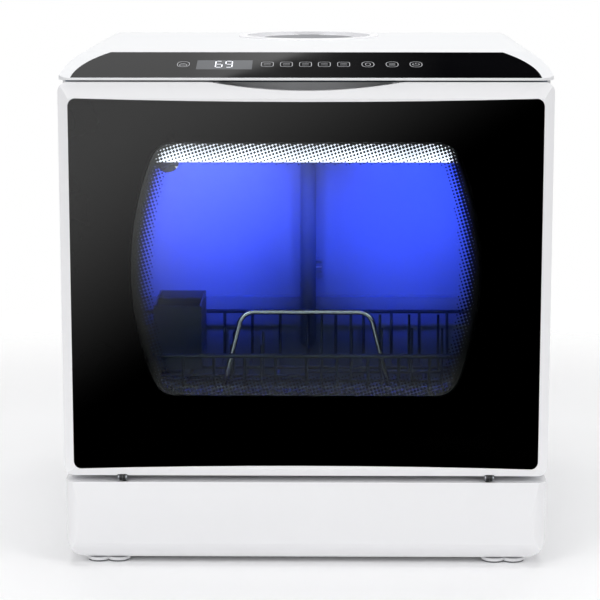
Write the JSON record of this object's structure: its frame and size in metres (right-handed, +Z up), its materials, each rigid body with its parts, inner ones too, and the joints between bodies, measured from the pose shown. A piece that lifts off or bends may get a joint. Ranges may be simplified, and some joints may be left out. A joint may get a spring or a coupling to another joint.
{
  "type": "countertop dishwasher",
  "caption": "White countertop dishwasher with a drop-down black glass door, barrel-shaped window, sliding rack, spray arms and a top-filled tank",
  "frame": {"origin": "bottom centre of the bounding box, on the table the feet stand on", "axes": "+X to the viewer's right, +Y to the back, +Z up; the door faces -Y"},
  "size_m": [0.43, 0.42, 0.4565],
  "materials": {
    "white_plastic": "gloss white",
    "white_steel": "gloss white paint",
    "foot_rubber": "matt",
    "black_glass": "gloss black",
    "smoked_plastic": "smoked",
    "board": "green circuit board",
    "grey_plastic": "satin",
    "steel": "satin",
    "clear_glass": "clear",
    "black_print": "black ceramic print",
    "dark_grey_plastic": "satin",
    "white_lamp": "diffusing lens",
    "blue_lamp": "diffusing lens",
    "dark_steel": "black",
    "seal_rubber": "matt",
    "tub_plastic": "satin",
    "coated_wire": "slate nylon coating",
    "blue_plastic": "satin translucent",
    "tank_plastic": "translucent",
    "black_plastic": "satin"
  },
  "bodies": {
    "casing": {"base_tray": "white_plastic", "feet": "foot_rubber", "left_side_panel": "white_steel", "right_side_panel": "white_steel", "rear_panel": "white_plastic", "top_cover": "white_plastic", "control_panel": "black_glass", "display_window": "smoked_plastic", "control_board": "board", "filler_ring": "white_plastic", "filler_funnel": "grey_plastic", "filler_hinge_pin": "steel", "hinge_bracket_left": "dark_steel", "hinge_bracket_right": "dark_steel", "hinge_pins": "steel", "door_seal": "seal_rubber", "tub": "tub_plastic", "tank_breather": "tub_plastic", "chamber_lights": "blue_lamp", "filter_plate": "steel", "filter_basket": "grey_plastic", "sump": "dark_grey_plastic", "lower_arm_post": "dark_grey_plastic", "upper_feed_pipe": "dark_grey_plastic", "roller_studs": "dark_grey_plastic", "water_tank": "tank_plastic", "wash_pump": "black_plastic", "heater": "black_plastic", "drain_pump": "dark_grey_plastic", "main_board_box": "grey_plastic", "inlet_valve": "dark_grey_plastic", "drain_spout": "dark_grey_plastic", "power_inlet": "black_plastic", "fan_housing": "dark_grey_plastic", "vent_grille": "white_plastic", "latch_body": "dark_grey_plastic"},
    "door": {"door_frame": "white_plastic", "door_glass": "clear_glass", "glass_print": "black_print", "window_trim": "steel", "window_reveal": "dark_grey_plastic", "window_light": "white_lamp", "inner_glass": "clear_glass", "door_liner": "steel", "handle_cup": "dark_grey_plastic", "door_striker": "steel", "door_hinge_plates": "dark_steel", "detergent_cup": "grey_plastic"},
    "rack": {"dish_rack": "coated_wire", "rack_handle": "steel", "cutlery_basket": "blue_plastic"},
    "lid": {"filler_lid": "grey_plastic"},
    "lower_arm": {"lower_spray_arm": "grey_plastic"},
    "upper_arm": {"upper_spray_arm": "grey_plastic"},
    "fan": {"fan_rotor": "black_plastic"},
    "latch": {"latch_lever": "dark_grey_plastic"},
    "wheel_fl": {"roller_front_left": "grey_plastic"},
    "wheel_fr": {"roller_front_right": "grey_plastic"},
    "wheel_rl": {"roller_rear_left": "grey_plastic"},
    "wheel_rr": {"roller_rear_right": "grey_plastic"}
  },
  "joints": [
    {"name": "door_hinge", "type": "hinge", "parent": "casing", "child": "door", "pos_m": [0, -0.205, 0.082], "axis": [1, 0, 0], "range_deg": [0, 90]},
    {"name": "rack_slide", "type": "slide", "parent": "casing", "child": "rack", "axis": [0, -1, 0], "range_m": [0, 0.11]},
    {"name": "wheel_fl_spin", "type": "hinge", "parent": "casing", "child": "wheel_fl", "pos_m": [-0.174, -0.143, 0.133], "axis": [1, 0, 0], "continuous": true},
    {"name": "wheel_fr_spin", "type": "hinge", "parent": "casing", "child": "wheel_fr", "pos_m": [0.174, -0.143, 0.133], "axis": [1, 0, 0], "continuous": true},
    {"name": "wheel_rl_spin", "type": "hinge", "parent": "casing", "child": "wheel_rl", "pos_m": [-0.174, -0.059, 0.133], "axis": [1, 0, 0], "continuous": true},
    {"name": "wheel_rr_spin", "type": "hinge", "parent": "casing", "child": "wheel_rr", "pos_m": [0.174, -0.059, 0.133], "axis": [1, 0, 0], "continuous": true},
    {"name": "lower_arm_spin", "type": "hinge", "parent": "casing", "child": "lower_arm", "pos_m": [0, -0.0265, 0.115], "axis": [0, 0, 1], "continuous": true},
    {"name": "upper_arm_spin", "type": "hinge", "parent": "casing", "child": "upper_arm", "pos_m": [0, -0.0265, 0.379], "axis": [0, 0, 1], "continuous": true},
    {"name": "lid_hinge", "type": "hinge", "parent": "casing", "child": "lid", "pos_m": [0, 0.172, 0.452], "axis": [-1, 0, 0], "range_deg": [0, 100]},
    {"name": "fan_spin", "type": "hinge", "parent": "casing", "child": "fan", "pos_m": [-0.151, 0.125, 0.33], "axis": [0, 1, 0], "continuous": true},
    {"name": "latch_pivot", "type": "hinge", "parent": "casing", "child": "latch", "pos_m": [0, -0.1392, 0.416], "axis": [1, 0, 0], "range_deg": [0, 10], "stiffness_Nm_per_rad": 0.06, "springref_deg": -6.88}
  ],
  "couplings": [
    {"joint": "rack_slide", "follows": "door_hinge", "m_per_rad": 0.07},
    {"joint": "wheel_fl_spin", "follows": "door_hinge", "ratio": 8.75},
    {"joint": "wheel_fr_spin", "follows": "door_hinge", "ratio": 8.75},
    {"joint": "wheel_rl_spin", "follows": "door_hinge", "ratio": 8.75},
    {"joint": "wheel_rr_spin", "follows": "door_hinge", "ratio": 8.75}
  ]
}
